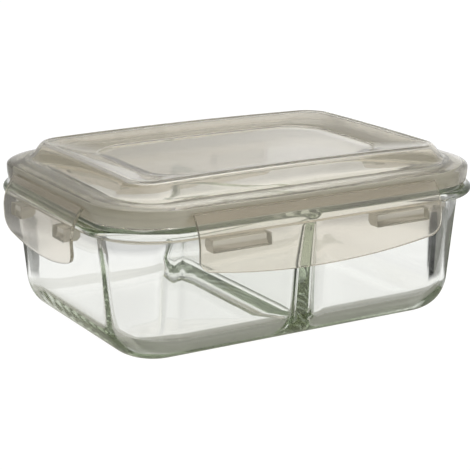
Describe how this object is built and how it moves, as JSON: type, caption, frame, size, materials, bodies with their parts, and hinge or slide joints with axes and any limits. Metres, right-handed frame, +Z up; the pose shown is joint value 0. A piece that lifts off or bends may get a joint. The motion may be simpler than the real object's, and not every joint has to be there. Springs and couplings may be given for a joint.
{
  "type": "glass lunch box with snap lid",
  "caption": "Rectangular two-compartment glass food box with a translucent plastic snap lid, silicone seal and a hinged latch on each side.",
  "frame": {"origin": "centre of the flat bottom of the glass dish, on the surface it stands on", "axes": "+X along the long side, +Y across to the back long side, +Z up through the lid"},
  "size_m": [0.215, 0.1606, 0.0842],
  "materials": {
    "clear_glass": "gloss",
    "lid_plastic": "gloss",
    "latch_plastic": "gloss",
    "seal_silicone": "satin"
  },
  "bodies": {
    "dish": {"glass_dish": "clear_glass"},
    "lid": {"lid_cover": "lid_plastic", "seal_ring": "seal_silicone"},
    "front_flap": {"front_latch": "latch_plastic"},
    "back_flap": {"back_latch": "latch_plastic"},
    "left_flap": {"left_latch": "latch_plastic"},
    "right_flap": {"right_latch": "latch_plastic"}
  },
  "joints": [
    {"name": "lid_lift", "type": "slide", "parent": "dish", "child": "lid", "axis": [0, 0, 1], "range_m": [0, 0.09]},
    {"name": "front_latch_hinge", "type": "hinge", "parent": "lid", "child": "front_flap", "pos_m": [0, -0.07405, 0.0706], "axis": [-1, 0, 0], "range_deg": [0, 120]},
    {"name": "back_latch_hinge", "type": "hinge", "parent": "lid", "child": "back_flap", "pos_m": [0, 0.07405, 0.0706], "axis": [1, 0, 0], "range_deg": [0, 120]},
    {"name": "left_latch_hinge", "type": "hinge", "parent": "lid", "child": "left_flap", "pos_m": [-0.10125, 0, 0.0706], "axis": [0, 1, 0], "range_deg": [0, 120]},
    {"name": "right_latch_hinge", "type": "hinge", "parent": "lid", "child": "right_flap", "pos_m": [0.10125, 0, 0.0706], "axis": [0, -1, 0], "range_deg": [0, 120]}
  ]
}
